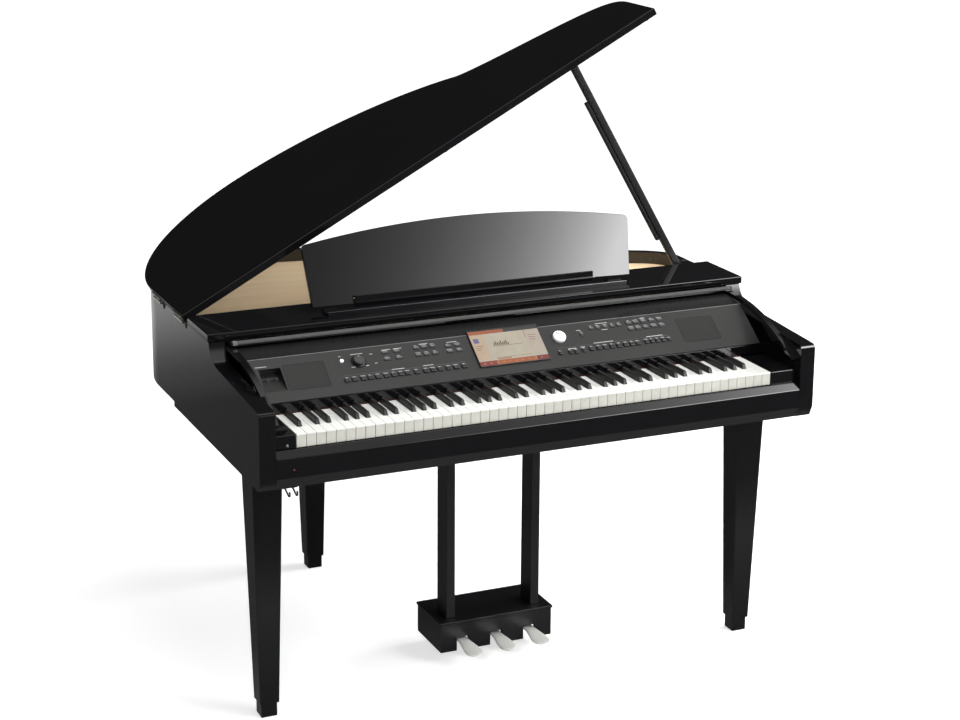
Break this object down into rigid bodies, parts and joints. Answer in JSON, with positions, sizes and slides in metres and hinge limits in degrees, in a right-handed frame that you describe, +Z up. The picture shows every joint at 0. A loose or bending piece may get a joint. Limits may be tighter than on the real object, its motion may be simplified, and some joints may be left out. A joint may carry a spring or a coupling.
{
  "type": "digital grand piano",
  "caption": "Small black digital grand piano with its lid propped open, curved case, sloped control panel with a display, keyboard, music rest, three legs and a pedal box.",
  "frame": {"origin": "centre of the bounding box at floor level", "axes": "+X along the keyboard from bass to treble, +Y from the player to the tail, +Z up"},
  "size_m": [1.4464, 1.185, 1.5863],
  "materials": {
    "polished_black": "black polyester polish on board, mirror-like",
    "satin_black": "satin black",
    "soundboard_wood": "pale straight-grained wood, satin lacquer",
    "panel_grey": "fine matte dark grey",
    "display": "colour display behind satin glass",
    "grille_grey": "matte dark grille",
    "button_grey": "soft dark grey caps",
    "button_white": "white gloss",
    "knob_silver": "spun silver",
    "white_key": "warm white, semi-gloss",
    "black_key": "black, satin",
    "hinge_metal": "satin metal",
    "ledge_grey": "dark satin with a silver lip",
    "pedal_metal": "polished silver",
    "circuit_green": "green circuit board"
  },
  "bodies": {
    "case": {"left_side_panel": "polished_black", "right_side_panel": "polished_black", "curved_rim": "polished_black", "bottom_board": "satin_black", "soundboard": "soundboard_wood", "key_slip": "polished_black", "left_key_block": "polished_black", "right_key_block": "polished_black", "name_board": "polished_black", "top_board": "polished_black", "control_panel": "panel_grey", "display_screen": "display", "left_speaker_grille": "grille_grey", "right_speaker_grille": "grille_grey", "white_keys": "white_key", "black_keys": "black_key", "lid_hinge_front": "hinge_metal", "lid_hinge_rear": "hinge_metal", "prop_bracket": "hinge_metal", "music_rest_ledge": "ledge_grey", "front_left_leg": "polished_black", "front_right_leg": "polished_black", "rear_leg": "polished_black", "left_pedal_post": "polished_black", "right_pedal_post": "polished_black", "pedal_box": "polished_black", "pedal_box_top": "polished_black", "headphone_box": "satin_black", "left_woofer": "satin_black", "right_woofer": "satin_black", "main_circuit_board": "circuit_green", "power_inlet": "satin_black"},
    "lid": {"lid": "polished_black", "lid_leaf_front": "hinge_metal", "lid_leaf_rear": "hinge_metal"},
    "lid_prop": {"lid_prop": "polished_black"},
    "short_prop": {"short_prop": "polished_black"},
    "music_rest": {"music_rest": "polished_black"},
    "rest_stay": {"music_rest_stay": "hinge_metal"},
    "key_cover": {"key_cover": "polished_black"},
    "left_pedal": {"left_pedal": "pedal_metal"},
    "middle_pedal": {"middle_pedal": "pedal_metal"},
    "right_pedal": {"right_pedal": "pedal_metal"},
    "power_button": {"power_button": "button_white"},
    "volume_knob": {"volume_knob": "knob_silver"},
    "data_dial": {"data_dial": "knob_silver"},
    "left_buttons": {"left_buttons": "button_grey"},
    "right_buttons": {"right_buttons": "button_grey"},
    "key_c": {"key_c": "white_key"},
    "key_d": {"key_d": "white_key"},
    "key_e": {"key_e": "white_key"},
    "key_f": {"key_f": "white_key"},
    "key_g": {"key_g": "white_key"},
    "key_a": {"key_a": "white_key"},
    "key_b": {"key_b": "white_key"},
    "key_c_sharp": {"key_c_sharp": "black_key"},
    "key_d_sharp": {"key_d_sharp": "black_key"},
    "key_f_sharp": {"key_f_sharp": "black_key"},
    "key_g_sharp": {"key_g_sharp": "black_key"},
    "key_a_sharp": {"key_a_sharp": "black_key"}
  },
  "joints": [
    {"name": "lid_lift", "type": "hinge", "parent": "case", "child": "lid", "pos_m": [-0.7215, 0.05, 0.888], "axis": [0, -1, 0], "range_deg": [0, 35]},
    {"name": "prop_fold", "type": "hinge", "parent": "case", "child": "lid_prop", "pos_m": [0.65, -0.0305, 0.874], "axis": [0, -1, 0], "range_deg": [0, 28]},
    {"name": "short_prop_fold", "type": "hinge", "parent": "lid_prop", "child": "short_prop", "pos_m": [0.57492, -0.0305, 0.97384], "axis": [0, -1, 0], "range_deg": [0, 24]},
    {"name": "music_rest_fold", "type": "hinge", "parent": "case", "child": "music_rest", "pos_m": [0, -0.146, 0.9195], "axis": [-1, 0, 0], "range_deg": [0, 74]},
    {"name": "rest_stay_fold", "type": "hinge", "parent": "music_rest", "child": "rest_stay", "pos_m": [0, -0.11716, 0.98925], "axis": [1, 0, 0], "range_deg": [0, 136]},
    {"name": "key_cover_slide", "type": "hinge", "parent": "case", "child": "key_cover", "pos_m": [0, -0.2525, 0.284], "axis": [1, 0, 0], "range_deg": [0, 32]},
    {"name": "left_pedal_press", "type": "hinge", "parent": "case", "child": "left_pedal", "pos_m": [-0.092, -0.1675, 0.0445], "axis": [1, 0, 0], "range_deg": [0, 5.8], "stiffness_Nm_per_rad": 40, "springref_deg": -2.86},
    {"name": "middle_pedal_press", "type": "hinge", "parent": "case", "child": "middle_pedal", "pos_m": [0, -0.1675, 0.0445], "axis": [1, 0, 0], "range_deg": [0, 5.8], "stiffness_Nm_per_rad": 40, "springref_deg": -2.86},
    {"name": "right_pedal_press", "type": "hinge", "parent": "case", "child": "right_pedal", "pos_m": [0.092, -0.1675, 0.0445], "axis": [1, 0, 0], "range_deg": [0, 5.8], "stiffness_Nm_per_rad": 40, "springref_deg": -2.86},
    {"name": "power_press", "type": "slide", "parent": "case", "child": "power_button", "axis": [0, 0.5835, -0.8121], "range_m": [0, 0.001], "stiffness_N_per_m": 400, "springref_m": -0.002},
    {"name": "volume_turn", "type": "hinge", "parent": "case", "child": "volume_knob", "pos_m": [-0.39, -0.35523, 0.83794], "axis": [0, -0.5835, 0.8121], "range_deg": [-150, 150]},
    {"name": "dial_turn", "type": "hinge", "parent": "case", "child": "data_dial", "pos_m": [0.1316, -0.35441, 0.83852], "axis": [0, -0.5835, 0.8121], "continuous": true},
    {"name": "left_buttons_press", "type": "slide", "parent": "case", "child": "left_buttons", "axis": [0, 0.5835, -0.8121], "range_m": [0, 0.001], "stiffness_N_per_m": 600, "springref_m": -0.003},
    {"name": "right_buttons_press", "type": "slide", "parent": "case", "child": "right_buttons", "axis": [0, 0.5835, -0.8121], "range_m": [0, 0.001], "stiffness_N_per_m": 600, "springref_m": -0.003},
    {"name": "key_c_press", "type": "hinge", "parent": "case", "child": "key_c", "pos_m": [-0.06875, -0.3435, 0.7325], "axis": [1, 0, 0], "range_deg": [0, 2.45], "stiffness_Nm_per_rad": 1.5, "springref_deg": -14.32},
    {"name": "key_d_press", "type": "hinge", "parent": "case", "child": "key_d", "pos_m": [-0.04525, -0.3435, 0.7325], "axis": [1, 0, 0], "range_deg": [0, 2.45], "stiffness_Nm_per_rad": 1.5, "springref_deg": -14.32},
    {"name": "key_e_press", "type": "hinge", "parent": "case", "child": "key_e", "pos_m": [-0.02175, -0.3435, 0.7325], "axis": [1, 0, 0], "range_deg": [0, 2.45], "stiffness_Nm_per_rad": 1.5, "springref_deg": -14.32},
    {"name": "key_f_press", "type": "hinge", "parent": "case", "child": "key_f", "pos_m": [0.00175, -0.3435, 0.7325], "axis": [1, 0, 0], "range_deg": [0, 2.45], "stiffness_Nm_per_rad": 1.5, "springref_deg": -14.32},
    {"name": "key_g_press", "type": "hinge", "parent": "case", "child": "key_g", "pos_m": [0.02525, -0.3435, 0.7325], "axis": [1, 0, 0], "range_deg": [0, 2.45], "stiffness_Nm_per_rad": 1.5, "springref_deg": -14.32},
    {"name": "key_a_press", "type": "hinge", "parent": "case", "child": "key_a", "pos_m": [0.04875, -0.3435, 0.7325], "axis": [1, 0, 0], "range_deg": [0, 2.45], "stiffness_Nm_per_rad": 1.5, "springref_deg": -14.32},
    {"name": "key_b_press", "type": "hinge", "parent": "case", "child": "key_b", "pos_m": [0.07225, -0.3435, 0.7325], "axis": [1, 0, 0], "range_deg": [0, 2.45], "stiffness_Nm_per_rad": 1.5, "springref_deg": -14.32},
    {"name": "key_c_sharp_press", "type": "hinge", "parent": "case", "child": "key_c_sharp", "pos_m": [-0.0588, -0.3435, 0.7325], "axis": [1, 0, 0], "range_deg": [0, 2.45], "stiffness_Nm_per_rad": 1.5, "springref_deg": -11.46},
    {"name": "key_d_sharp_press", "type": "hinge", "parent": "case", "child": "key_d_sharp", "pos_m": [-0.0317, -0.3435, 0.7325], "axis": [1, 0, 0], "range_deg": [0, 2.45], "stiffness_Nm_per_rad": 1.5, "springref_deg": -11.46},
    {"name": "key_f_sharp_press", "type": "hinge", "parent": "case", "child": "key_f_sharp", "pos_m": [0.0109, -0.3435, 0.7325], "axis": [1, 0, 0], "range_deg": [0, 2.45], "stiffness_Nm_per_rad": 1.5, "springref_deg": -11.46},
    {"name": "key_g_sharp_press", "type": "hinge", "parent": "case", "child": "key_g_sharp", "pos_m": [0.037, -0.3435, 0.7325], "axis": [1, 0, 0], "range_deg": [0, 2.45], "stiffness_Nm_per_rad": 1.5, "springref_deg": -11.46},
    {"name": "key_a_sharp_press", "type": "hinge", "parent": "case", "child": "key_a_sharp", "pos_m": [0.0631, -0.3435, 0.7325], "axis": [1, 0, 0], "range_deg": [0, 2.45], "stiffness_Nm_per_rad": 1.5, "springref_deg": -11.46}
  ],
  "couplings": [
    {"joint": "rest_stay_fold", "follows": "music_rest_fold", "ratio": 1.83}
  ]
}
